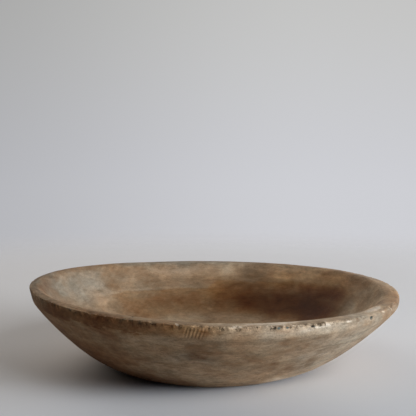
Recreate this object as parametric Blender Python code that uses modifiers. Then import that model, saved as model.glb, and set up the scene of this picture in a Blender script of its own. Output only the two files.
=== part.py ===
"""A round wooden bowl, carved by hand from one block of wood.

Metres, +Z up. The origin is on the table, under the middle of the bowl, and +Y points to the back.
The wall is turned from one profile. Then the turned shape is put out of true, the way a bowl that
was cut and smoothed by hand is: its rim slopes a little, and it isn't quite round.
"""

import math

import bpy
import numpy as np

# Driving dimensions: lengths in metres, angles in degrees.
RIM_RADIUS = 0.150  # outer edge of the rim's top
RIM_HEIGHT = 0.0626
LIP_RADIUS = 0.1398  # inner edge of the rim's top
LIP_HEIGHT = 0.0640
BAND_RADIUS = 0.1489  # lower edge of the upright band round the rim
BAND_HEIGHT = 0.0542
FOOT_RADIUS = 0.078  # the flat that the bowl stands on
FLOOR_RADIUS = 0.056  # where the inside wall has run out into the floor
FLOOR_HEIGHT = 0.0125
HOLLOW_HEIGHT = 0.0115  # the floor at its middle, the bowl's thinnest point
EDGE_ROUND = 0.0016  # wear on the rim's outer and inner edges

# Slopes of the walls' two curves at their ends, from level, and how far each end holds its slope: the length
# of the curve's pull there.
WALL_SLOPE, WALL_PULL = 52.5, 0.0366  # outer wall under the band
FOOT_SLOPE, FOOT_PULL = 4.0, 0.0136  # outer wall where it leaves the foot
INNER_SLOPE, INNER_PULL = 55.0, 0.032  # inside wall under the lip
FLOOR_SLOPE, FLOOR_PULL = 1.5, 0.036  # inside wall where it leaves the floor

# How far the carver's hand left it out of true, all at the rim.
RIM_SLOPE = 0.0030  # the left of the rim is this much too high, and the right too low
RIM_SHIFT = 0.0035  # the rim lies this much to the right of the foot
LONG_WAYS_RISE = 0.0016  # the left and right stand higher than the front and back
OVAL = 0.0005
OVAL_DIRECTION = 17.0
LOBES = 0.00235  # three soft corners
LOBE_DIRECTION = 65.0
LOWER_EDGE_SHIFT = 0.0016  # the band's lower edge lies to the right of its upper one
LOWER_EDGE_SLOPE = 0.0014
LIP_SHIFT = 0.0023  # the rim's top is wider on the right than on the left

# Fineness of the mesh.
TURN_STEPS = 72
WALL_STEPS = 10
ROUND_STEPS = 3
MERGE_WITHIN = 0.00005
SHARP_FROM = 40.0  # edges that turn by more than this stay sharp

WOOD_COLOR = (0.27, 0.20, 0.14)
WOOD_ROUGHNESS = 0.72


def clear_scene():
    for old in list(bpy.data.objects):
        bpy.data.objects.remove(old)


def ahead(start, degrees, length):
    """The point that lies a length away from start, in a direction measured up from level."""
    angle = math.radians(degrees)
    return (start[0] + length * math.cos(angle), start[1] + length * math.sin(angle))


def bezier(start, start_pull, end_pull, end, steps):
    """Points of a cubic Bezier curve in the (radius, height) plane."""
    share = np.linspace(0, 1, steps + 1)[:, None]
    rest = 1 - share
    return (
        rest**3 * np.array(start)
        + 3 * rest**2 * share * np.array(start_pull)
        + 3 * rest * share**2 * np.array(end_pull)
        + share**3 * np.array(end)
    )


def rounded_corner(before, corner, after, cut):
    """A corner worn round: a quadratic curve that leaves each side at the length cut from the corner."""
    corner = np.array(corner)
    ends = []
    for side in (np.array(before), np.array(after)):
        ends.append(corner + (side - corner) * cut / np.linalg.norm(side - corner))
    share = np.linspace(0, 1, ROUND_STEPS + 1)[:, None]
    rest = 1 - share
    return rest**2 * ends[0] + 2 * rest * share * corner + share**2 * ends[1]


def outer_wall():
    """From the band's lower edge down to the foot."""
    top = (BAND_RADIUS, BAND_HEIGHT)
    foot = (FOOT_RADIUS, 0.0)
    top_pull = ahead(top, WALL_SLOPE + 180, WALL_PULL)
    foot_pull = ahead(foot, FOOT_SLOPE, FOOT_PULL)
    return bezier(top, top_pull, foot_pull, foot, WALL_STEPS)


def inner_wall():
    """From the middle of the floor out and up to the lip."""
    floor = (FLOOR_RADIUS, FLOOR_HEIGHT)
    lip = (LIP_RADIUS, LIP_HEIGHT)
    floor_pull = ahead(floor, FLOOR_SLOPE, FLOOR_PULL)
    lip_pull = ahead(lip, INNER_SLOPE + 180, INNER_PULL)
    wall = bezier(floor, floor_pull, lip_pull, lip, WALL_STEPS)
    return np.vstack([(0.0, HOLLOW_HEIGHT), wall])


def profile():
    """The bowl's half section, from the middle of the floor, over the rim and down to the foot."""
    inside = inner_wall()
    outside = outer_wall()
    lip = (LIP_RADIUS, LIP_HEIGHT)
    crest = (RIM_RADIUS, RIM_HEIGHT)
    lip_edge = rounded_corner(inside[-2], lip, crest, EDGE_ROUND)
    crest_edge = rounded_corner(lip, crest, outside[0], EDGE_ROUND)
    return np.vstack([inside[:-1], lip_edge, crest_edge, outside, (0.0, 0.0)])


def turned_mesh(section, name):
    """Turns the half section once round the Z axis, with Blender's Screw modifier."""
    line = bpy.data.meshes.new(name + "_section")
    points = [(radius, 0.0, height) for radius, height in section]
    edges = [(i, i + 1) for i in range(len(points) - 1)]
    line.from_pydata(points, edges, [])
    turner = bpy.data.objects.new(name + "_section", line)
    bpy.context.scene.collection.objects.link(turner)
    screw = turner.modifiers.new("turn", "SCREW")
    screw.axis = "Z"
    screw.angle = 2 * math.pi
    screw.steps = TURN_STEPS
    screw.render_steps = TURN_STEPS
    screw.use_merge_vertices = True
    screw.merge_threshold = MERGE_WITHIN
    graph = bpy.context.evaluated_depsgraph_get()
    mesh = bpy.data.meshes.new_from_object(turner.evaluated_get(graph))
    mesh.name = name
    bpy.data.objects.remove(turner)
    bpy.data.meshes.remove(line)
    return mesh


def share_to_outside(radius, height):
    """0 on the inside wall and 1 on the outer wall, with the rim's top between them."""
    inside = inner_wall()
    outside = outer_wall()[::-1]
    near = np.interp(height, inside[:, 1], inside[:, 0])
    far = np.interp(height, outside[:, 1], outside[:, 0])
    return np.clip((radius - near) / (far - near), 0, 1)


def out_of_true(points):
    """Moves the turned points to where the carver's hand left them.

    Every error grows evenly from none at the foot, which is flat, to its full size at the rim.
    """
    x, y, z = points.T
    radius = np.hypot(x, y)
    angle = np.arctan2(y, x)
    level = z / RIM_HEIGHT
    outside = share_to_outside(radius, z)
    oval = OVAL * np.cos(2 * (angle - math.radians(OVAL_DIRECTION)))
    lobes = LOBES * np.cos(3 * (angle - math.radians(LOBE_DIRECTION)))
    below = np.clip(z / BAND_HEIGHT, 0, 1) ** 2
    above = np.clip((RIM_HEIGHT - z) / (RIM_HEIGHT - BAND_HEIGHT), 0, 1)
    wall_share = outside * below * above
    lip_share = (1 - outside) * (z / LIP_HEIGHT) ** 2
    sideways = np.cos(angle)
    radius_now = radius * (1 + (oval + lobes) * level / RIM_RADIUS)
    radius_now += sideways * (LOWER_EDGE_SHIFT * wall_share - LIP_SHIFT * lip_share)
    height = z + LONG_WAYS_RISE * np.cos(2 * angle) * level
    height += LOWER_EDGE_SLOPE * sideways * wall_share
    x_now = radius_now * np.cos(angle)
    y_now = radius_now * np.sin(angle)
    height *= 1 - RIM_SLOPE / RIM_HEIGHT * x_now / RIM_RADIUS
    return np.column_stack([x_now + RIM_SHIFT * level, y_now, height])


def centred(points):
    """Puts the middle of the shape's box over the origin."""
    middle = (points.min(axis=0) + points.max(axis=0)) / 2
    return points - (middle[0], middle[1], 0.0)


def aged_wood():
    material = bpy.data.materials.new("aged_wood")
    material.use_nodes = True
    shader = material.node_tree.nodes["Principled BSDF"]
    shader.inputs["Base Color"].default_value = (*WOOD_COLOR, 1.0)
    shader.inputs["Roughness"].default_value = WOOD_ROUGHNESS
    shader.inputs["Metallic"].default_value = 0.0
    return material


def make_bowl(collection):
    """The bowl: one piece of wood, wall, rim and foot together."""
    mesh = turned_mesh(profile(), "bowl")
    points = np.empty(len(mesh.vertices) * 3, np.float32)
    mesh.vertices.foreach_get("co", points)
    carved = centred(out_of_true(points.reshape(-1, 3).astype(float)))
    mesh.vertices.foreach_set("co", carved.astype(np.float32).ravel())
    mesh.update()
    mesh.shade_smooth()
    mesh.set_sharp_from_angle(angle=math.radians(SHARP_FROM))
    mesh.materials.clear()
    mesh.materials.append(aged_wood())
    bowl = bpy.data.objects.new("bowl", mesh)
    collection.objects.link(bowl)
    return bowl


def main():
    clear_scene()
    collection = bpy.data.collections.new("carved_wooden_bowl")
    bpy.context.scene.collection.children.link(collection)
    make_bowl(collection)


main()
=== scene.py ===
"""The finished look of a round wooden bowl, carved by hand from one block.

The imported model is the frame. The bowl's fine surface is one closed shell, worked out with numpy and
fitted to the frame's box, and it stands for the frame's plain bowl. Metres, +Z up, +Y to the back.
"""
import itertools
import math

import bpy
import numpy as np
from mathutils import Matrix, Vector


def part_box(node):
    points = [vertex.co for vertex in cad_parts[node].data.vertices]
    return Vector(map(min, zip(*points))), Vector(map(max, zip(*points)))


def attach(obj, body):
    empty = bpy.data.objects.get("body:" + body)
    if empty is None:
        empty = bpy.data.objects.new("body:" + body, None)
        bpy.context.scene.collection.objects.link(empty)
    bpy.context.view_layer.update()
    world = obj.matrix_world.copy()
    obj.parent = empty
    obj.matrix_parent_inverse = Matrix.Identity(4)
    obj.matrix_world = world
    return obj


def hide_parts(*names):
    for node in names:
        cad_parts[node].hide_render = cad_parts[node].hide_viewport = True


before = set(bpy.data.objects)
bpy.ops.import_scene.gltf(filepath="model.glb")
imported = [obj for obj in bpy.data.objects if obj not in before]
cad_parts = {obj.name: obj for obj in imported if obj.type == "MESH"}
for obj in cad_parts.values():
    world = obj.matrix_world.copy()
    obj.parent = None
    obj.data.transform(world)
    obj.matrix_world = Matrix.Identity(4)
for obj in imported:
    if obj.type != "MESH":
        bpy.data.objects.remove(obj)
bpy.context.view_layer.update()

BOWL_LOW, BOWL_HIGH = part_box("bowl")

# The bowl's half section, in metres and degrees. The run is the way along it from the rim's outer crest,
# positive down the outside and negative over the rim's top to the inside.
RIM_RADIUS = 0.150
RIM_HEIGHT = 0.0626
LIP_RADIUS = 0.1398
LIP_HEIGHT = 0.0640
BAND_RADIUS = 0.1489
BAND_HEIGHT = 0.0542
FOOT_RADIUS = 0.078
FLOOR_RADIUS = 0.056
FLOOR_HEIGHT = 0.0125
HOLLOW_HEIGHT = 0.0115
# Where each curve sets out: its slope in degrees, and how far its pull reaches.
WALL_SLOPE, WALL_PULL = 52.5, 0.0366
FOOT_SLOPE, FOOT_PULL = 4.0, 0.0136
INNER_SLOPE, INNER_PULL = 55.0, 0.032
FLOOR_SLOPE, FLOOR_PULL = 1.5, 0.036
CURVE_STEPS = 200

# How far the carver left it out of true, at the rim.
RIM_SLOPE = 0.0030
RIM_SHIFT = 0.0035
LONG_WAYS_RISE = 0.0016
OVAL, OVAL_DIRECTION = 0.0005, 17.0
LOBES, LOBE_DIRECTION = 0.00235, 65.0
LOWER_EDGE_SHIFT = 0.0016
LOWER_EDGE_SLOPE = 0.0014
LIP_SHIFT = 0.0023

# Columns round the bowl in each kind of ring, each a third of the one before.
RIM_COLUMNS = 1296
WALL_COLUMNS = RIM_COLUMNS // 3
FLOOR_COLUMNS = WALL_COLUMNS // 3
HUB_COLUMNS = FLOOR_COLUMNS // 3
LATTICE = 32  # numbers each way in a noise's table

MM = 0.001
GROOVE_RUN = -0.042  # a line scribed round the inside wall
FOOT_RUN = 0.095  # where the outer wall runs out into the foot
GOUGE_WIDTH = 0.011
EDGE_WEAR = 0.0011
LIP_WEAR = 0.0030
BAND_WEAR = 0.0010
WEAR_SAMPLES = 15
HAND_WAVE = 0.00040
SMALL_WAVE = 0.00007
CHANNEL_DEPTH = 0.00005
UNDER_DEPTH = 0.00022  # deeper still under the foot
FLOOR_DEPTH = 0.00007  # and on the inner floor
GROOVE_DEPTH, GROOVE_HALF = 0.00030, 0.0011
CHIP_DEPTH, CHIP_REACH = 0.00140, 0.0019
COARSE_DEPTH = 0.00013

# Wood: colours in linear light. Where old wood is darker than its ground by a gain, red and blue follow
# powers of that gain. Dry wood paler than its ground has powers of its own, and greyness cools both.
GREY_TAN = (0.258, 0.178, 0.105)
WARM_TAN = (0.282, 0.176, 0.096)
BARE_WOOD = (0.60, 0.51, 0.40)
RED_POWER, BLUE_POWER = 0.66, 1.28
PALE_RED, PALE_BLUE = 0.90, 1.12
GREY_RED, GREY_BLUE = -0.16, 0.20
PALEST = 2.4
BARE_FROM, BARE_SHARE = 1.6, 0.85  # the gain past which the rim shows bare wood
OIL_DARKENS, OIL_WARMS = 0.11, 0.75
NICK_REACH = 0.022
CIRCLE = 0.12  # radius of the circle that the wall's streaks are drawn on
# Painted tones besides the patches; UNDER_DARK is partly painted shade at the foot, where the bowl meets the
# floor.
DRIFT, GROOVE_PALE, UNDER_DARK, CREST_TONE = 0.12, 0.13, -0.25, 0.12
# How strongly each layer lightens and darkens the wood, as shares: the broad ones, then the fine grain.
MOTTLE, BLOT, RING = 0.17, 0.27, -0.06
FLECK, GRIT, STREAK, FIBRE, FINE = 0.16, 0.13, 0.05, 0.045, 0.06
PORE, RASP = -0.22, 0.18
NICK_DARK, NICK_PALE = -0.80, 0.90
INSIDE_TONE, INSIDE_GRAIN = 0.8, 0.65  # the inside is smoother than the outside
SPECULAR = 0.10
BUMP_STRENGTH, BUMP_HEIGHT = 0.55, 0.0005
HOLE_DARK = (0.020, 0.018, 0.015)
OLD_TEAL = (0.03, 0.09, 0.10)
PITH = (0.030, 0.150)  # y and z of the growth rings' middle
RING_PITCH = 0.0036
RING_BEND = 0.012
RASP_STROKES = 390
RASP_SLANT = 850.0

# Marks, by their angle in degrees from the right, going round by the back, and their run in millimetres.
# A hole has a radius and a depth, and a notch half its length and width, its turn and its depth.
HOLES = [
    (316.3, 3.5, 1.7, 2.4),
    (294.8, 1.5, 1.1, 0.9),
    (298.0, -1.2, 0.85, 0.6),
    (246.0, -7.5, 0.8, 0.5),
    (201.0, 4.5, 0.7, 0.9),
    (164.0, 3.0, 1.0, 1.8),
    (118.0, 5.5, 0.8, 1.4),
    (73.0, 2.2, 1.1, 1.9),
    (71.2, 4.4, 0.7, 1.2),
    (28.0, 6.0, 0.9, 1.5),
    (352.0, -4.0, 0.8, 1.0),
]
TEAL_SPECKS = [(316.3, 3.5, 1.9), (285.5, 1.0, 1.3), (287.8, 1.1, 1.1), (295.4, 1.9, 0.6)]
NOTCHES = [
    (259.6, -0.8, 3.0, 1.1, 55, 0.50),
    (233.7, -0.4, 2.2, 0.8, 70, 0.40),
    (238.8, -0.8, 2.2, 0.8, 65, 0.45),
    (207.0, -0.6, 1.8, 0.9, 60, 0.35),
    (310.0, 1.6, 1.8, 1.8, 0, 0.35),
    (323.0, 1.4, 2.6, 0.9, 30, 0.45),
    (329.0, 1.8, 2.6, 0.8, 70, 0.40),
    (306.5, 1.6, 3.0, 1.1, 5, 0.35),
    (226.0, 1.0, 2.0, 0.8, 80, 0.45),
    (215.0, 0.8, 1.8, 0.8, 75, 0.40),
    (251.0, 0.6, 2.0, 0.8, 75, 0.40),
    (140.0, 0.5, 3.5, 1.2, 10, 0.50),
    (95.0, -0.5, 2.4, 1.0, 50, 0.40),
    (52.0, 0.8, 3.0, 1.0, 20, 0.45),
    (12.0, -0.5, 2.5, 1.0, 60, 0.35),
]

# Stains, and in a few marked rows painted light and shade, by angle, run, half length round the bowl, half
# width along the section, turn and strength. The strength of a tone is a logarithm: below 0 is darker and
# redder, and above 0 is paler and drier.
BROAD_TONES = [
    # The top of the rim.
    (284, -5.5, 60, 5.5, 0, 0.54),
    (236, -3.0, 30, 2.4, 0, -0.42),
    (316, -6.5, 24, 4, 0, 0.36),
    (339, -1, 18, 5, 0, -0.30),
    (198, -14, 24, 6, 0, -0.36),
    (320, -6.0, 30, 5.0, 0, 0.18),
    (341, -5.0, 26, 5.0, 0, -0.12),
    (200, -6.0, 50, 5.0, 0, 0.12),
    # The outer wall.
    # Darker on the left of the outer wall: partly the wood's tone, partly painted shade on the side away from
    # the window lamp.
    (216, 30, 60, 28, 0, -0.43),
    (226, 10, 36, 5, 0, -0.18),
    # The next three rows, darker low on the left by the foot, are painted shade where the bowl meets the
    # floor.
    (222, 64, 52, 22, 0, -0.50),
    (214, 70, 30, 10, 0, -0.35),
    (243, 82, 34, 10, 0, -0.85),
    (257, 54, 34, 20, 0, 0.28),
    (250, 21, 24, 12, 0, 0.34),
    (264, 62, 24, 12, 0, 0.10),
    # Paler low on the right by the foot: painted light bounced up from the floor.
    (306, 82, 24, 9, 0, 0.40),
    # Darker at the foot in front: painted shade where the bowl meets the floor.
    (288, 81, 9, 5, 0, -0.25),
    (240, 50, 8, 5, 0, -0.22),
    (226, 80, 14, 7, 0, 0.25),
    (268, 26, 15, 10, 0, -0.24),
    (290, 14, 16, 6, 0, -0.10),
    (312, 35, 36, 28, 0, 0.22),
    # Paler low on the front and right: painted light bounced up from the floor.
    (294, 72, 60, 16, 0, 0.26),
    (20, 40, 55, 26, 0, -0.15),
    (70, 28, 40, 16, 0, 0.16),
    (125, 52, 60, 20, 0, -0.22),
    (160, 24, 44, 14, 0, 0.12),
    # The inner wall and the floor.
    (56, -20, 88, 9, 0, 0.60),
    (105, -23, 46, 8, 0, 0.48),
    (66, -14, 70, 5, 0, 0.26),
    (120, -37, 50, 5, 0, 0.16),
    (158, -28, 34, 12, 0, 0.26),
    (40, -56, 32, 15, 0, -0.42),
    (8, -44, 30, 16, 0, 0.38),
    (14, -56, 26, 14, 0, 0.14),
    (212, -1.5, 34, 4.5, 0, 0.20),
    (236, 2.2, 40, 1.8, 0, -0.26),
    (224, -1.2, 24, 2.6, 0, 0.18),
    (288, 1.8, 12, 3, 0, -0.32),
    (228, 0.6, 16, 2.6, 0, 0.55),
    (204, 0.5, 14, 2.2, 0, 0.35),
    (200, 7, 16, 3, 0, 0.22),
    (222, -6.5, 26, 3, 0, 0.28),
    (288, -6.5, 12, 3, 0, 0.18),
    (243, 9, 16, 5, 0, -0.14),
    (318, 22, 30, 20, 0, 0.08),
    (323, -7, 14, 4, 0, 0.46),
    (0, -11, 70, 4, 0, 0.20),
    (350, -19, 40, 8, 0, 0.22),
    (110, -10.5, 70, 3, 0, 0.14),
    (168, -22, 20, 16, 0, 0.14),
    (95, -88, 60, 12, 0, 0.14),
    (122, -57, 30, 9, 0, -0.26),
    (352, -42, 40, 13, 0, 0.28),
    (0, -54, 30, 12, 0, 0.16),
    (30, -24, 22, 8, 0, -0.10),
    (58, -26, 16, 6, 0, 0.20),
    (77, -19, 12, 6, 0, -0.14),
    (92, -12, 16, 5, 0, 0.20),
    (10, -27, 30, 16, 0, 0.24),
    (14, -66, 16, 8, 0, 0.60),
    (0, -29, 16, 13, 0, -0.20),
    (346, -40, 10, 5, 0, 0.34),
    (22, -40, 20, 8, 0, 0.22),
    (60, -30, 14, 12, 0, 0.10),
    (120, -90, 16, 12, 0, 0.20),
    (150, -46, 14, 4, 0, 0.25),
    (172, -20, 24, 14, 0, 0.12),
    (72, -54, 14, 8, 0, -0.14),
    (79, -52, 22, 12, 0, -0.28),
    (126, -46, 20, 5, 0, 0.14),
    (74, -10.5, 34, 2.5, 0, 0.24),
    (36, -36, 26, 7, 0, -0.25),
    (25, -92, 30, 12, 0, 0.20),
    (180, -22, 36, 14, 0, -0.40),
    (186, -14, 40, 6, 0, -0.35),
    (345, -28, 45, 18, 0, 0.50),
    # Dark low on the inner wall at the back right: a dark stain, partly painted shadow that the right rim
    # casts into the bowl.
    (48, -58, 60, 18, 0, -1.05),
    (26, -54, 34, 20, 0, -0.80),
    (74, -58, 26, 16, 0, -0.25),
    (32, -36, 34, 7, 0, -0.45),
    (150, -40, 44, 16, 0, 0.26),
    (150, -11, 70, 4, 0, -0.12),
    (90, -88, 90, 14, 0, 0.34),
    (265, -52, 90, 18, 0, -0.30),
    (300, -22, 60, 8, 0, 0.15),
]
# Tones of the upright band under the crest, by angle, half width in degrees and strength.
BAND_TONES = [
    (233, 24, -0.56),
    (206, 9, -0.12),
    (284, 17, 0.26),
    (304, 11, 0.16),
    (334, 14, -0.30),
    (165, 24, -0.35),
    (110, 16, 0.25),
    (48, 20, -0.30),
]
SMALL_TONES = [
    (289, 14, 7, 5, 0, -0.34),
    (299, 13, 5.5, 3.5, 15, -0.36),
    (294, 19, 6, 2.5, 0, -0.20),
    (289.5, 47, 4, 8, 0, -0.34),
    (304, 48, 9, 3.5, 60, -0.30),
    (297, 55, 5, 3, 40, -0.25),
    (264.5, 31, 6.5, 4.5, 0, -0.50),
    (272, 33, 5, 3, 0, -0.20),
    (233, 9.5, 9, 2.5, 0, -0.25),
    (254, 14, 9, 4, 10, 0.16),
    (293, 3.5, 10, 2.5, 0, 0.14),
    (297, 2.6, 6, 1.0, 0, 0.30),
    (288, 2.4, 6, 0.8, 0, 0.22),
    (259.6, -1.2, 2.4, 0.9, 55, 1.15),
    # Pale marks in the dents along the right of the crest: partly bare wood, partly painted glints.
    (306.5, 1.6, 3.4, 1.2, 5, 0.75),
    (323.0, 1.4, 2.6, 1.1, 30, 0.90),
    (329.0, 1.8, 2.8, 1.0, 70, 0.85),
    (299.5, 1.8, 2.2, 1.0, 20, 0.60),
    (310.0, 1.6, 2.2, 2.2, 0, -0.42),
    (294.8, 1.5, 1.4, 1.2, 0, -0.60),
    (267.0, 4.6, 3.6, 2.2, 0, -0.32),
    (270.6, 4.4, 2.4, 2.0, 0, -0.30),
    (226.0, 0.6, 1.4, 0.7, 80, 0.60),
    (215.0, 0.4, 1.4, 0.7, 75, 0.40),
    (291, 9.7, 5, 1.8, 0, -0.20),
    (298, -1.2, 1.2, 1.0, 0, -0.60),
    (246, -7.5, 1.5, 1.1, 0, -0.45),
    (207, -0.4, 2.0, 1.2, 40, 0.45),
    (233.7, -0.4, 1.8, 0.8, 70, 0.65),
    (238.8, -0.8, 2.0, 0.8, 65, 0.65),
    (150, -37, 7, 1.8, 0, -0.30),
    (143, -33, 5, 1.6, 10, -0.24),
    (134, -23, 5, 3, 20, -0.18),
    (47, -29, 5, 3, 0, 0.30),
    (40.7, -16.3, 5, 1.2, -5, -0.35),
    (77, -55, 8, 3, 0, -0.30),
    (30, -22, 5, 1.5, 10, -0.22),
    (56, -36, 7, 8, 0, -0.25),
    (76, -37, 22, 4.5, 0, -0.12),
    (92, -71, 3.5, 1.3, 0, 0.55),
    (132, 20, 8, 5, 20, -0.28),
    (84, 44, 6, 9, 0, -0.26),
    (30, 16, 9, 4, -15, -0.28),
    (8, 52, 5, 8, 10, 0.22),
    (176, 40, 8, 5, 0, -0.24),
    (62, 60, 10, 6, 30, -0.20),
    (110, 30, 7, 4, 0, 0.20),
    (148, 66, 9, 6, -20, -0.24),
]
# Greyness, from dry and weathered above 0 to oiled and reddish below.
BROAD_GREYS = [
    (160, -30, 44, 18, 0, 0.6),
    (345, -30, 50, 22, 0, 0.1),
    (40, -24, 60, 14, 0, -0.7),
    (38, -52, 52, 20, 0, 0.95),
    (8, -40, 34, 22, 0, 0.8),
    (182, -18, 24, 8, 0, 0.4),
    (105, -10, 80, 4, 0, 0.9),
    (90, -88, 80, 14, 0, 0.25),
    (160, -28, 34, 16, 0, 0.4),
    (352, -42, 40, 14, 0, 0.2),
    (84, -50, 20, 10, 0, -0.5),
    (0, -29, 18, 14, 0, -0.6),
    (60, -30, 14, 12, 0, -0.5),
    (90, -36, 14, 16, 0, -0.4),
    (126, -46, 20, 6, 0, 0.35),
    (30, -25, 26, 9, 0, -0.4),
    (298, 3, 62, 6, 0, 0.35),
    (284, -6, 50, 4, 0, 0.4),
    (352, -18, 44, 10, 0, 0.5),
    (190, -5, 60, 6, 0, 0.5),
    (183, -16, 40, 14, 0, 0.6),
    (345, -5, 34, 6, 0, -0.8),
    (334, 4, 30, 6, 0, 0.8),
    (104, -19, 34, 6, 0, 0.3),
    (262, 3, 24, 5, 0, -1.0),
    (312, 30, 46, 45, 0, 0.8),
    (264, 31, 14, 8, 0, 0.7),
    (214, 34, 60, 46, 0, -0.25),
    (236, 4, 50, 6, 0, -0.5),
    (100, 45, 60, 30, 0, 0.4),
]
FLOOR_COLOR = (0.725, 0.735, 0.745)
FLOOR_FADE = (1.10, 0.32)  # metres from the middle: clear, solid

LENS, SENSOR = 69.23, 36.0
CAMERA_SIDE, CAMERA_AWAY, CAMERA_HEIGHT = -0.0016, -0.6619, 0.1786
CAMERA_DOWN, CAMERA_TURN = 4.417, 0.303  # degrees
LAMP_TARGET = 0.05  # height that every lamp faces

# Each lamp's name, azimuth and height in degrees, distance, size, watts and colour.
LAMPS = [
    ("window", 16, 6, 1.6, (0.8, 0.5), 34.4, (0.94, 1.0, 1.10)),
    ("front_fill", 45, 32, 1.6, (0.8, 0.8), 10.8, (0.97, 1.0, 1.04)),
    ("left_fill", -150, 35, 2.4, (1.8, 1.8), 6.6, (1.10, 1.0, 0.90)),
    ("back_left", -120, 35, 2.4, (1.8, 1.8), 17.9, (1.10, 1.0, 0.90)),
    ("back_right", -60, 15, 2.4, (1.8, 1.8), 22.5, (1.04, 1.0, 0.96)),
]


def blend(low, high, values):
    """0 up to low, 1 from high, and a smooth step between them."""
    share = np.clip((values - low) / (high - low), 0, 1)
    return share * share * (3 - 2 * share)


def noise(points, size, seed):
    """Random numbers from -1 to 1 on a lattice of cubes of this size, blended smoothly between corners."""
    table = np.random.default_rng(seed).uniform(-1, 1, (LATTICE, LATTICE, LATTICE))
    spot = points / size
    base = np.floor(spot).astype(int)
    share = spot - base
    share = share * share * (3 - 2 * share)
    total = np.zeros(points.shape[:-1])
    for corner in itertools.product((0, 1), repeat=3):
        cell = (base + corner) % LATTICE
        weight = np.prod(np.where(corner, share, 1 - share), axis=-1)
        total += weight * table[cell[..., 0], cell[..., 1], cell[..., 2]]
    return total


def rough(points, size, seed, layers=3):
    """Noise in layers, each half the size and half the strength of the one before."""
    total = np.zeros(points.shape[:-1])
    for layer in range(layers):
        total += noise(points, size / 2**layer, seed + layer) / 2**layer
    return total


def ahead(start, degrees, length):
    angle = math.radians(degrees)
    return (start[0] + length * math.cos(angle), start[1] + length * math.sin(angle))


def bezier(start, start_pull, end_pull, end, steps):
    """Points of a cubic Bezier curve in the (radius, height) plane."""
    share = np.linspace(0, 1, steps + 1)[:, None]
    rest = 1 - share
    return (
        rest**3 * np.array(start)
        + 3 * rest**2 * share * np.array(start_pull)
        + 3 * rest * share**2 * np.array(end_pull)
        + share**3 * np.array(end)
    )


def inner_wall():
    """The half section from the floor's edge up to the lip."""
    floor, lip = (FLOOR_RADIUS, FLOOR_HEIGHT), (LIP_RADIUS, LIP_HEIGHT)
    floor_pull = ahead(floor, FLOOR_SLOPE, FLOOR_PULL)
    lip_pull = ahead(lip, INNER_SLOPE + 180, INNER_PULL)
    return bezier(floor, floor_pull, lip_pull, lip, CURVE_STEPS)


def outer_wall():
    """The half section from the band's lower edge down to the foot."""
    top, foot = (BAND_RADIUS, BAND_HEIGHT), (FOOT_RADIUS, 0.0)
    top_pull = ahead(top, WALL_SLOPE + 180, WALL_PULL)
    foot_pull = ahead(foot, FOOT_SLOPE, FOOT_PULL)
    return bezier(top, top_pull, foot_pull, foot, CURVE_STEPS)


def whole_section():
    """The half section as a fine line: floor's middle, inside wall, lip, crest, band, wall, foot's middle."""
    line = np.vstack([
        (0.0, HOLLOW_HEIGHT),
        inner_wall(),
        (RIM_RADIUS, RIM_HEIGHT),
        outer_wall(),
        (0.0, 0.0),
    ])
    run = np.concatenate([[0.0], np.cumsum(np.hypot(*np.diff(line, axis=0).T))])
    crest = 1 + len(inner_wall())
    return line, run - run[crest]


LINE, LINE_RUN = whole_section()
LIP_RUN = -math.hypot(RIM_RADIUS - LIP_RADIUS, LIP_HEIGHT - RIM_HEIGHT)
BAND_RUN = math.hypot(RIM_RADIUS - BAND_RADIUS, RIM_HEIGHT - BAND_HEIGHT)


def on_section(run):
    """Radius and height at each run."""
    return np.interp(run, LINE_RUN, LINE[:, 0]), np.interp(run, LINE_RUN, LINE[:, 1])


def softened(run, angle):
    """The section worn round: the mean of its points over a stretch before and behind each.

    The stretch is longest at the lip, where hands have worn it most. The crest is sharp at the front left
    and well rounded at the right.
    """
    worn = LIP_WEAR * (1 - blend(0.004, 0.008, abs(run - LIP_RUN)))
    under_band = BAND_WEAR * (1 - blend(0.002, 0.005, abs(run - BAND_RUN)))
    sharp = 0.6 * sector(angle, 200, 264, 24)
    round_part = 1.6 * sector(angle, 300, 360, 30)
    reach = EDGE_WEAR * (1 - sharp + round_part) + worn + under_band
    spread = np.linspace(-1, 1, WEAR_SAMPLES)[:, None] * reach
    radius, height = on_section(run + spread)
    return radius.mean(axis=0), height.mean(axis=0)


def rings():
    """Every ring's run, and its number of columns, from the floor's middle to the foot's middle."""
    first, last = LINE_RUN[0], LINE_RUN[-1]
    floor_edge = first + FLOOR_RADIUS
    foot_edge = last - FOOT_RADIUS
    rim_start, rim_end = LIP_RUN - 0.0026, BAND_RUN + 0.0026
    groove_start, groove_end = GROOVE_RUN - 0.004, GROOVE_RUN + 0.004
    parts = [
        (np.linspace(first + 0.002, first + 0.017, 6), HUB_COLUMNS),
        (np.linspace(first + 0.019, floor_edge - 0.002, 15), FLOOR_COLUMNS),
        (np.linspace(floor_edge, groove_start, 23), WALL_COLUMNS),
        (np.linspace(groove_start + 0.0009, groove_end, 9), WALL_COLUMNS),
        (np.linspace(groove_end + 0.0018, rim_start - 0.0009, 15), WALL_COLUMNS),
        (np.linspace(rim_start, rim_end, 42), RIM_COLUMNS),
        (np.linspace(rim_end + 0.0009, foot_edge + 0.003, 41), WALL_COLUMNS),
        (np.linspace(foot_edge + 0.0055, last - 0.019, 16), FLOOR_COLUMNS),
        (np.linspace(last - 0.017, last - 0.002, 6), HUB_COLUMNS),
    ]
    run = np.concatenate([part[0] for part in parts])
    columns = np.concatenate([np.full(len(part[0]), part[1]) for part in parts])
    return run, columns


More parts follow.
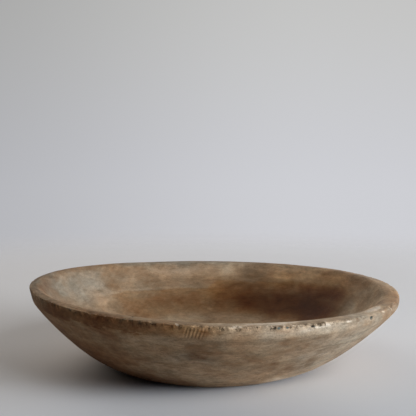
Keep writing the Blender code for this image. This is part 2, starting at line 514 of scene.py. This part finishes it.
def from_spot(run, angle, spot):
    """How far each place lies from a spot's middle: 1 on the edge of its turned ellipse.

    The way round is measured along the circle through the spot's middle.
    """
    middle_angle, middle_run, length, width, turn = spot
    radius = on_section(middle_run * MM)[0]
    turned = (angle - math.radians(middle_angle) + math.pi) % math.tau - math.pi
    along, across = turned * radius / MM, run / MM - middle_run
    tilt = math.radians(turn)
    forward = (along * math.cos(tilt) + across * math.sin(tilt)) / length
    sideways = (across * math.cos(tilt) - along * math.sin(tilt)) / width
    return np.hypot(forward, sideways)


def patches(run, angle, points, spots, seed, edge):
    """The sum of some patches, their outlines frayed by noise. The edge is soft at 2 and crisp at 8."""
    fray = 1 + 0.30 * rough(points, 0.016, seed, 3)
    total = np.zeros(run.shape)
    for *spot, strength in spots:
        total += strength * np.exp(-((from_spot(run, angle, spot) * fray) ** edge))
    return total


def band_tones(angle):
    """The tone of the upright band at each angle."""
    total = np.zeros(angle.shape)
    for middle, half, strength in BAND_TONES:
        away = (np.degrees(angle) - middle + 180) % 360 - 180
        total += strength * np.exp(-((away / half) ** 4))
    return total


def tones(run, angle, points):
    """The painted tone of each place: the patches, a slow drift, a pale line along the groove, a darker foot
    that is partly painted shade, and noise at the crest.
    """
    broad = patches(run, angle, points, BROAD_TONES, 60, 3)
    small = patches(run, angle, points, SMALL_TONES, 65, 6)
    drift = DRIFT * rough(points, 0.045, 70, 3)
    above_groove = np.exp(-(((run - GROOVE_RUN - 0.0018) / 0.0012) ** 2))
    line = GROOVE_PALE * above_groove * sector(angle, 60, 150, 40)
    # Darker at the foot and underneath: partly the wood's own tone, partly painted shade where the bowl meets
    # the floor.
    under = UNDER_DARK * blend(FOOT_RUN - 0.010, FOOT_RUN + 0.010, run)
    crest = np.exp(-(((run - 0.0006) / 0.0022) ** 2)) * rough(points, 0.0034, 85, 2)
    return broad + small + drift + line + under + CREST_TONE * crest


def oiled(run, angle, points):
    """1 on the low part of the inner wall at the back and right, which food has oiled, with a frayed edge.

    The edge follows the scribed line, and lies higher on the right. The floor's middle is dry.
    """
    edge = GROOVE_RUN + 0.010 * sector(angle, -40, 91, 6) + 0.003 * sector(angle, -40, 56, 10)
    edge = edge + 0.0014 * rough(points, 0.012, 90, 3)
    soft = 0.0010 + 0.003 * sector(angle, -140, 50, 30)
    wet = sector(angle, 10, 142, 24) * (0.25 + 0.75 * blend(-0.084, -0.072, run))
    return wet * (1 - blend(edge - soft, edge + soft, run))


def nearest(run, angle, spots):
    """The distance to the nearest of some small round marks, 1 on its edge and at most 4."""
    total = np.full(run.shape, 4.0)
    for mark_angle, mark_run, size, *_ in spots:
        total = np.minimum(total, from_spot(run, angle, (mark_angle, mark_run, size, size, 0)))
    return total


def sector(angle, start, end, soft=6.0):
    """1 between two angles in degrees, going up from start to end, and 0 outside, with soft ends."""
    half = (end - start) / 2
    away = abs((np.degrees(angle) - start - half + 180) % 360 - 180)
    return 1 - blend(half - soft / 2, half + soft / 2, away)


def hand_cut(run, angle, points):
    """How far the tools and the years left each place from the even surface, in metres, out of the wood.

    Broad waves of the hand, shallow gouge channels that lie along the wall, a scribed groove inside, and
    at the rim a chipped crest, cut notches and worm holes.
    """
    wave = HAND_WAVE * rough(points, 0.055, 11, 2) + SMALL_WAVE * rough(points, 0.014, 21, 2)
    row = run / GOUGE_WIDTH + 0.8 * noise(points, 0.05, 31)
    across = row - np.floor(row) - 0.5
    under = blend(FOOT_RUN - 0.012, FOOT_RUN, run)
    depth = CHANNEL_DEPTH + UNDER_DEPTH * under + FLOOR_DEPTH * blend(-0.060, -0.085, run) * (run < 0)
    channel = depth * (4 * across**2 - 1) * blend(0.012, 0.020, abs(run))
    near_groove = np.exp(-(((run - GROOVE_RUN) / GROOVE_HALF) ** 2))
    groove = -GROOVE_DEPTH * near_groove * sector(angle, 50, 165, 30)
    near_crest = np.exp(-(((run - 0.0004) / CHIP_REACH) ** 2))
    chipped = blend(0.10, 0.60, noise(points, 0.0044, 41) + 0.55 * noise(points, 0.0021, 42))
    ragged = 0.35 + 0.65 * sector(angle, 200, 266, 14) + 0.3 * sector(angle, 280, 345, 20)
    chips = -CHIP_DEPTH * chipped * near_crest * ragged
    band = blend(-0.0005, 0.0010, run) * (1 - blend(0.0072, 0.0090, run))
    coarse = -COARSE_DEPTH * band * (0.5 + 0.5 * noise(points * (1, 1, 0.35), 0.0022, 51))
    holes = np.zeros(run.shape)
    for spot_angle, spot_run, size, hole_depth in HOLES:
        away = from_spot(run, angle, (spot_angle, spot_run, size, size, 0))
        holes = np.minimum(holes, -hole_depth * MM * (1 - blend(0.55, 1.15, away)))
    for *spot, notch_depth in NOTCHES:
        away = from_spot(run, angle, spot)
        holes = np.minimum(holes, -notch_depth * MM * (1 - blend(0.3, 1.1, away)))
    return wave + channel + groove + chips + coarse + holes


def out_of_true(radius, angle, z, outside):
    """Moves turned points to where the carver's hand left them; every error grows evenly from the foot."""
    level = z / RIM_HEIGHT
    oval = OVAL * np.cos(2 * (angle - math.radians(OVAL_DIRECTION)))
    lobes = LOBES * np.cos(3 * (angle - math.radians(LOBE_DIRECTION)))
    below = np.clip(z / BAND_HEIGHT, 0, 1) ** 2
    above = np.clip((RIM_HEIGHT - z) / (RIM_HEIGHT - BAND_HEIGHT), 0, 1)
    wall_share = outside * below * above
    lip_share = (1 - outside) * (z / LIP_HEIGHT) ** 2
    sideways = np.cos(angle)
    radius_now = radius * (1 + (oval + lobes) * level / RIM_RADIUS)
    radius_now = radius_now + sideways * (LOWER_EDGE_SHIFT * wall_share - LIP_SHIFT * lip_share)
    height = z + LONG_WAYS_RISE * np.cos(2 * angle) * level + LOWER_EDGE_SLOPE * sideways * wall_share
    x, y = radius_now * np.cos(angle), radius_now * np.sin(angle)
    height = height * (1 - RIM_SLOPE / RIM_HEIGHT * x / RIM_RADIUS)
    return np.stack([x + RIM_SHIFT * level, y, height], axis=-1)


def stitch(start_a, count_a, start_b, count_b):
    """Faces between two rings of vertices, whose counts are equal or one three times the other."""
    if count_a == count_b:
        i = np.arange(count_a)
        j = (i + 1) % count_a
        return [np.stack([start_a + i, start_b + i, start_b + j, start_a + j], axis=1)]
    coarse, fine = (start_a, start_b) if count_a < count_b else (start_b, start_a)
    count = min(count_a, count_b)
    i = np.arange(count)
    j = (i + 1) % count
    f0, f1, f2, f3 = (fine + (3 * i + step) % (3 * count) for step in range(4))
    c0, c1 = coarse + i, coarse + j
    rows = (c0, f0, f1), (c0, f1, f2, c1), (c1, f2, f3)
    faces = [np.stack(row, axis=1) for row in rows]
    return faces if count_a < count_b else [face[:, ::-1] for face in faces]


def fan(start, count, hub, outwards):
    i = np.arange(count)
    j = (i + 1) % count
    face = np.stack([np.full(count, hub), start + i, start + j], axis=1)
    return [face if outwards else face[:, ::-1]]


def bowl_grid():
    """Run, angle and share to the outside of every vertex, and the faces that join them."""
    run, columns = rings()
    starts = np.concatenate([[0], np.cumsum(columns)])
    angle = np.concatenate([np.arange(n) * math.tau / n for n in columns])
    run_all = np.repeat(run, columns)
    total = starts[-1]
    faces = fan(starts[0], columns[0], total, True)
    for k in range(len(run) - 1):
        faces += stitch(starts[k], columns[k], starts[k + 1], columns[k + 1])
    faces += fan(starts[-2], columns[-1], total + 1, False)
    run_all = np.append(run_all, [LINE_RUN[0], LINE_RUN[-1]])
    angle = np.append(angle, [0.0, 0.0])
    return run_all, angle, faces


def mesh_from(name, points, faces):
    mesh = bpy.data.meshes.new(name)
    sizes = np.concatenate([np.full(len(f), f.shape[1]) for f in faces])
    corners = np.concatenate([f.ravel() for f in faces])
    mesh.vertices.add(len(points))
    mesh.vertices.foreach_set("co", points.astype(np.float32).ravel())
    mesh.loops.add(len(corners))
    mesh.loops.foreach_set("vertex_index", corners.astype(np.int32))
    mesh.polygons.add(len(sizes))
    mesh.polygons.foreach_set("loop_start", (np.cumsum(sizes) - sizes).astype(np.int32))
    mesh.polygons.foreach_set("loop_total", sizes.astype(np.int32))
    mesh.update(calc_edges=True)
    mesh.validate()
    mesh.shade_smooth()
    return mesh


def facing(run, angle):
    """The unit direction out of the wood on the half section, as (outwards, upwards)."""
    reach = 0.0006
    before_radius, before_z = softened(run - reach, angle)
    after_radius, after_z = softened(run + reach, angle)
    outwards, upwards = before_z - after_z, after_radius - before_radius
    length = np.maximum(np.hypot(outwards, upwards), 1e-9)
    return outwards / length, upwards / length


def fitted(points):
    """The same points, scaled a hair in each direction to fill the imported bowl's box."""
    low, high = points.min(axis=0), points.max(axis=0)
    room_low, room_high = np.array(BOWL_LOW), np.array(BOWL_HIGH)
    return room_low + (points - low) * (room_high - room_low) / (high - low)


def paint(mesh, name, values):
    mesh.attributes.new(name, "FLOAT", "POINT").data.foreach_set("value", values.astype(np.float32))


def carved_bowl():
    """One closed shell: the turned section, cut by hand, put out of true and fitted to its box."""
    run, angle, faces = bowl_grid()
    radius, z = softened(run, angle)
    outwards, upwards = facing(run, angle)
    flat = np.stack([radius * np.cos(angle), radius * np.sin(angle), z], axis=-1)
    cut = hand_cut(run, angle, flat)
    cut_radius, cut_z = radius + cut * outwards, z + cut * upwards
    outside = blend(LIP_RUN, 0.0, run)
    points = fitted(out_of_true(cut_radius, angle, cut_z, outside))
    mesh = mesh_from("bowl_wood", points, faces)
    paint(mesh, "run", run)
    oil = oiled(run, angle, flat)
    paint(mesh, "tone", tones(run, angle, flat) - OIL_DARKENS * oil)
    paint(mesh, "grey", patches(run, angle, flat, BROAD_GREYS, 75, 3) - OIL_WARMS * oil)
    paint(mesh, "band", band_tones(angle))
    paint(mesh, "rasp", 0.06 * sector(angle, 206, 330, 30) + 0.94 * sector(angle, 261.3, 266.8, 2))
    nicked = 0.3 + 0.7 * sector(angle, 196, 300, 30)
    paint(mesh, "crest", nicked * np.exp(-(((run - 0.0006) / 0.0025) ** 2)))
    paint(mesh, "hole", nearest(run, angle, HOLES))
    paint(mesh, "teal", nearest(run, angle, TEAL_SPECKS))
    bowl = bpy.data.objects.new("bowl_wood", mesh)
    bpy.context.scene.collection.objects.link(bowl)
    return bowl


class Wiring:
    """Adds nodes to one material. A socket's value is a number, a colour or another node's output."""

    def __init__(self, material):
        self.tree = material.node_tree

    def add(self, kind, values, output=0, **settings):
        node = self.tree.nodes.new("ShaderNode" + kind)
        for name, value in settings.items():
            setattr(node, name, value)
        for socket, value in values.items():
            if isinstance(value, bpy.types.NodeSocket):
                self.tree.links.new(value, node.inputs[socket])
            else:
                node.inputs[socket].default_value = value
        return node.outputs[output]

    def math(self, operation, first, second=0.0, third=0.0):
        return self.add("Math", {0: first, 1: second, 2: third}, operation=operation)

    def times(self, first, second):
        return self.math("MULTIPLY", first, second)

    def plus(self, first, second):
        return self.math("ADD", first, second)

    def step(self, value, low, high, to_low=0.0, to_high=1.0):
        """A smooth step from to_low at low to to_high at high."""
        values = {"Value": value, "From Min": low, "From Max": high, "To Min": to_low, "To Max": to_high}
        return self.add("MapRange", values, interpolation_type="SMOOTHSTEP")

    def mix(self, share, first, second, blend_type="MIX"):
        values = {0: share, 6: first, 7: second}
        return self.add("Mix", values, 2, data_type="RGBA", blend_type=blend_type)

    def stretched(self, vector, scale):
        return self.add("Mapping", {"Vector": vector, "Scale": scale})

    def cloud(self, vector, size, detail=3.0, roughness=0.55, distortion=0.0):
        """Noise from 0 to 1 with blots of this size, in the vector's units."""
        values = {
            "Vector": vector,
            "Scale": 1 / size,
            "Detail": detail,
            "Roughness": roughness,
            "Distortion": distortion,
        }
        return self.add("TexNoise", values)

    def painted(self, name):
        return self.add("Attribute", {}, "Fac", attribute_name=name)


def opaque(color):
    """A colour with full alpha, as a socket takes it."""
    return (*color, 1.0)


def aged_wood():
    """Old, dry, handled wood.

    The colour is a tan ground with growth rings, fibres and pores that run from left to right through the
    block, and scraper streaks that run round the wall. The painted stains, with some painted light and shade
    among them, lie over it, broken up by noise.
    """
    material = bpy.data.materials.new("aged_wood")
    material.use_nodes = True
    wire = Wiring(material)
    place = wire.add("TexCoord", {}, "Object")
    parts = wire.tree.nodes.new("ShaderNodeSeparateXYZ")
    wire.tree.links.new(place, parts.inputs[0])
    x, y, z = parts.outputs
    run = wire.painted("run")

    # Round the wall: a place on one circle, with the run as its height.
    level = wire.add("CombineXYZ", {0: x, 1: y, 2: 0.0})
    circle = wire.add("VectorMath", {0: level}, operation="NORMALIZE")
    around = wire.add("VectorMath", {0: circle, 1: (CIRCLE, CIRCLE, 0.0)}, operation="MULTIPLY")
    height = wire.add("CombineXYZ", {0: 0.0, 1: 0.0, 2: run})
    wall = wire.add("VectorMath", {0: around, 1: height}, operation="ADD")

    mottle = wire.cloud(place, 0.030, 5.0, 0.62)
    tint = wire.cloud(wire.stretched(place, (1.0, 1.0, 1.6)), 0.019, 4.0, 0.6)
    fibre = wire.cloud(wire.stretched(place, (0.06, 1.0, 1.0)), 0.0016, 4.0, 0.65)
    fine = wire.cloud(wire.stretched(place, (0.08, 1.0, 1.0)), 0.00055, 2.0, 0.6)
    streak = wire.cloud(wire.stretched(wall, (0.09, 0.09, 1.0)), 0.0030, 4.0, 0.68)
    scrape = wire.cloud(wire.stretched(wall, (0.05, 0.05, 1.0)), 0.0008, 2.0, 0.6)
    grit = wire.cloud(place, 0.0011, 3.0, 0.7)
    blot = wire.cloud(wire.stretched(wall, (0.50, 0.50, 1.0)), 0.0105, 5.0, 0.72, 0.4)
    fleck = wire.cloud(wire.stretched(wall, (0.60, 0.60, 1.0)), 0.0034, 3.0, 0.65)

    # Growth rings are cylinders along the block, about a pith that lies above and behind the bowl.
    bend = wire.times(wire.math("SUBTRACT", wire.cloud(place, 0.09, 2.0), 0.5), RING_BEND)
    from_pith = wire.math(
        "SQRT",
        wire.plus(
            wire.math("POWER", wire.math("SUBTRACT", y, PITH[0]), 2.0),
            wire.math("POWER", wire.math("SUBTRACT", z, PITH[1]), 2.0),
        ),
    )
    turns = wire.times(wire.plus(from_pith, bend), math.tau / RING_PITCH)
    ring = wire.step(wire.math("SINE", turns), -0.2, 1.0)

    pores = wire.cloud(wire.stretched(place, (0.12, 1.0, 1.0)), 0.00075, 1.0, 0.5)
    pore = wire.step(pores, 0.62, 0.72)

    # Rasp strokes across the upright band: slanted lines a stroke's pitch apart.
    angle = wire.math("ARCTAN2", y, x)
    slant = wire.plus(wire.times(angle, float(RASP_STROKES)), wire.times(run, RASP_SLANT))
    stroke = wire.math("SINE", wire.plus(slant, wire.times(mottle, 9.0)))
    on_band = wire.times(wire.step(run, 0.0, 0.002), wire.step(run, 0.0095, 0.0080))
    rasp = wire.times(wire.times(stroke, on_band), wire.painted("rasp"))

    # The ground colour, from greyish to warm, then darker and lighter by the grain.
    ground = wire.mix(wire.step(tint, 0.32, 0.70), opaque(GREY_TAN), opaque(WARM_TAN))
    tone = wire.plus(wire.step(mottle, 0.28, 0.72, -MOTTLE, MOTTLE), wire.step(blot, 0.30, 0.70, -BLOT, BLOT))
    tone = wire.plus(tone, wire.times(ring, RING))
    tone = wire.times(tone, wire.step(run, -0.022, -0.010, INSIDE_TONE, 1.0))

    # The painted tone and greyness lie over it, and the band's tone, which starts and ends at ragged lines.
    nick = wire.cloud(wire.stretched(wall, (1.0, 1.0, 0.45)), 0.0022, 4.0, 0.75)
    fray = wire.times(wire.math("SUBTRACT", nick, 0.5), NICK_REACH)
    start = wire.step(wire.plus(run, fray), -0.0010, -0.0003)
    soft_fray = wire.times(wire.math("SUBTRACT", blot, 0.5), NICK_REACH)
    end = wire.step(wire.plus(run, soft_fray), 0.0100, 0.0072)
    band = wire.times(wire.times(start, end), wire.painted("band"))
    gain = wire.times(wire.plus(tone, 1.0), wire.math("EXPONENT", wire.plus(wire.painted("tone"), band)))
    dark, pale = wire.math("MINIMUM", gain, 1.0), wire.math("MAXIMUM", gain, 1.0)
    pale = wire.math("MINIMUM", pale, PALEST)
    grey = wire.painted("grey")
    red_gain = wire.times(wire.math("POWER", dark, RED_POWER), wire.math("POWER", pale, PALE_RED))
    blue_gain = wire.times(wire.math("POWER", dark, BLUE_POWER), wire.math("POWER", pale, PALE_BLUE))
    red_gain = wire.times(red_gain, wire.plus(wire.times(grey, GREY_RED), 1.0))
    blue_gain = wire.times(blue_gain, wire.plus(wire.times(grey, GREY_BLUE), 1.0))
    gains = wire.add("CombineXYZ", {0: red_gain, 1: wire.times(dark, pale), 2: blue_gain})
    color = wire.mix(1.0, ground, gains, "MULTIPLY")
    bare = wire.times(wire.step(gain, BARE_FROM, PALEST, 0.0, BARE_SHARE), wire.step(run, -0.010, -0.006))
    color = wire.mix(bare, color, opaque(BARE_WOOD))

    # Fine grain, with dark nicks and pale flecks along the crest.
    nicks = wire.plus(
        wire.step(nick, 0.48, 0.38, 0.0, NICK_DARK),
        wire.step(nick, 0.55, 0.64, 0.0, NICK_PALE),
    )
    grain = wire.plus(wire.step(fleck, 0.28, 0.72, -FLECK, FLECK), wire.step(grit, 0.3, 0.7, -GRIT, GRIT))
    grain = wire.plus(grain, wire.step(streak, 0.25, 0.75, -STREAK, STREAK))
    grain = wire.plus(grain, wire.plus(wire.step(fibre, 0.25, 0.75, -FIBRE, FIBRE), wire.times(pore, PORE)))
    grain = wire.plus(grain, wire.step(fine, 0.25, 0.75, -FINE, FINE))
    grain = wire.plus(grain, wire.plus(wire.times(wire.painted("crest"), nicks), wire.times(rasp, RASP)))
    grain = wire.times(grain, wire.step(run, -0.022, -0.010, INSIDE_GRAIN, 1.0))
    grain_gain = wire.plus(grain, 1.0)
    all_channels = wire.add("CombineXYZ", {0: grain_gain, 1: grain_gain, 2: grain_gain})
    color = wire.mix(1.0, color, all_channels, "MULTIPLY")

    # Dirt in the worm holes, and old paint in a few of them.
    hole = wire.step(wire.painted("hole"), 1.05, 0.70)
    color = wire.mix(wire.times(hole, 0.92), color, opaque(HOLE_DARK))
    speck = wire.step(wire.painted("teal"), 1.10, 0.60)
    color = wire.mix(wire.times(speck, 0.75), color, opaque(OLD_TEAL))

    relief = wire.plus(
        wire.plus(wire.times(fibre, 0.7), wire.times(streak, 0.7)),
        wire.plus(wire.times(fine, 0.35), wire.times(scrape, 0.35)),
    )
    relief = wire.plus(relief, wire.plus(wire.times(grit, 0.6), wire.times(pore, -0.5)))
    relief = wire.plus(relief, wire.times(rasp, 0.35))
    bump = wire.add("Bump", {"Height": relief, "Strength": BUMP_STRENGTH, "Distance": BUMP_HEIGHT})

    dry = wire.plus(wire.step(mottle, 0.2, 0.8, 0.60, 0.76), wire.step(grit, 0.3, 0.7, -0.04, 0.06))
    shader = wire.tree.nodes["Principled BSDF"]
    wire.tree.links.new(color, shader.inputs["Base Color"])
    wire.tree.links.new(dry, shader.inputs["Roughness"])
    wire.tree.links.new(bump, shader.inputs["Normal"])
    shader.inputs["Specular IOR Level"].default_value = SPECULAR
    return material


def add_camera():
    middle = (BOWL_LOW + BOWL_HIGH) / 2
    data = bpy.data.cameras.new("camera")
    data.sensor_width = SENSOR
    data.lens = LENS
    camera = bpy.data.objects.new("camera", data)
    camera.location = (middle.x + CAMERA_SIDE, middle.y + CAMERA_AWAY, CAMERA_HEIGHT)
    camera.rotation_euler = (math.radians(90 - CAMERA_DOWN), 0.0, math.radians(CAMERA_TURN))
    bpy.context.scene.collection.objects.link(camera)
    bpy.context.scene.camera = camera


def pale_floor():
    """Matt and pale, and clear past a soft edge, so that the floor runs out into the backdrop."""
    material = bpy.data.materials.new("pale_floor")
    material.use_nodes = True
    wire = Wiring(material)
    shader = wire.tree.nodes["Principled BSDF"]
    shader.inputs["Base Color"].default_value = opaque(FLOOR_COLOR)
    shader.inputs["Roughness"].default_value = 1.0
    shader.inputs["Specular IOR Level"].default_value = 0.0
    place = wire.add("TexCoord", {}, "Object")
    from_middle = wire.add("VectorMath", {0: place}, "Value", operation="LENGTH")
    wire.tree.links.new(wire.step(from_middle, *FLOOR_FADE), shader.inputs["Alpha"])
    return material


def add_floor():
    half = FLOOR_FADE[0]
    mesh = bpy.data.meshes.new("floor")
    corners = [(-half, -half, 0), (half, -half, 0), (half, half, 0), (-half, half, 0)]
    mesh.from_pydata(corners, [], [(0, 1, 2, 3)])
    mesh.materials.append(pale_floor())
    floor = bpy.data.objects.new("floor", mesh)
    bpy.context.scene.collection.objects.link(floor)


def add_lamp(name, azimuth, height, away, size, watts, color):
    """A soft light that faces the bowl. The azimuth goes from the right towards the front, in degrees."""
    light = bpy.data.lights.new(name, "AREA")
    light.shape = "RECTANGLE"
    light.size, light.size_y = size
    light.energy = watts
    light.color = color
    turned, raised = math.radians(azimuth), math.radians(height)
    across = away * math.cos(raised)
    target = Vector((0, 0, LAMP_TARGET))
    lamp = bpy.data.objects.new(name, light)
    from_target = (across * math.cos(turned), -across * math.sin(turned), away * math.sin(raised))
    lamp.location = target + Vector(from_target)
    lamp.rotation_euler = (target - lamp.location).to_track_quat("-Z", "Y").to_euler()
    lamp.visible_camera = False
    bpy.context.scene.collection.objects.link(lamp)


def add_backdrop():
    """The room: soft light from overhead, and a pale wall that the camera sees, brighter to the right."""
    world = bpy.data.worlds.new("studio")
    world.use_nodes = True
    wire = Wiring(world)
    tree = wire.tree
    direction = wire.add("TexCoord", {}, "Generated")
    parts = tree.nodes.new("ShaderNodeSeparateXYZ")
    tree.links.new(direction, parts.inputs[0])
    right, _, up = parts.outputs
    side = wire.step(right, -0.40, 0.15, -0.135, 0.045)
    top = wire.times(wire.math("MAXIMUM", wire.plus(up, 0.05), 0.0), -0.33)
    seen = wire.plus(wire.plus(side, top), 0.585)
    wall_tint = wire.mix(wire.step(up, -0.05, 0.20), (0.975, 0.985, 1.04, 1.0), (1.0, 1.0, 0.99, 1.0))
    seen_light = tree.nodes["Background"]
    tree.links.new(seen, seen_light.inputs["Strength"])
    tree.links.new(wall_tint, seen_light.inputs["Color"])
    overhead = wire.times(wire.math("MAXIMUM", up, 0.0), 0.03)
    room_light = tree.nodes.new("ShaderNodeBackground")
    room_light.inputs["Color"].default_value = (1.05, 1.0, 1.15, 1.0)
    tree.links.new(overhead, room_light.inputs["Strength"])
    choose = tree.nodes.new("ShaderNodeMixShader")
    path = tree.nodes.new("ShaderNodeLightPath")
    tree.links.new(path.outputs["Is Camera Ray"], choose.inputs[0])
    tree.links.new(room_light.outputs[0], choose.inputs[1])
    tree.links.new(seen_light.outputs[0], choose.inputs[2])
    tree.links.new(choose.outputs[0], tree.nodes["World Output"].inputs["Surface"])
    bpy.context.scene.world = world


def add_studio():
    add_floor()
    for lamp in LAMPS:
        add_lamp(*lamp)
    add_backdrop()
    bpy.context.scene.view_settings.view_transform = "Standard"


bowl = carved_bowl()
bowl.data.materials.append(aged_wood())
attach(bowl, "root")
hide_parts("bowl")
add_camera()
add_studio()
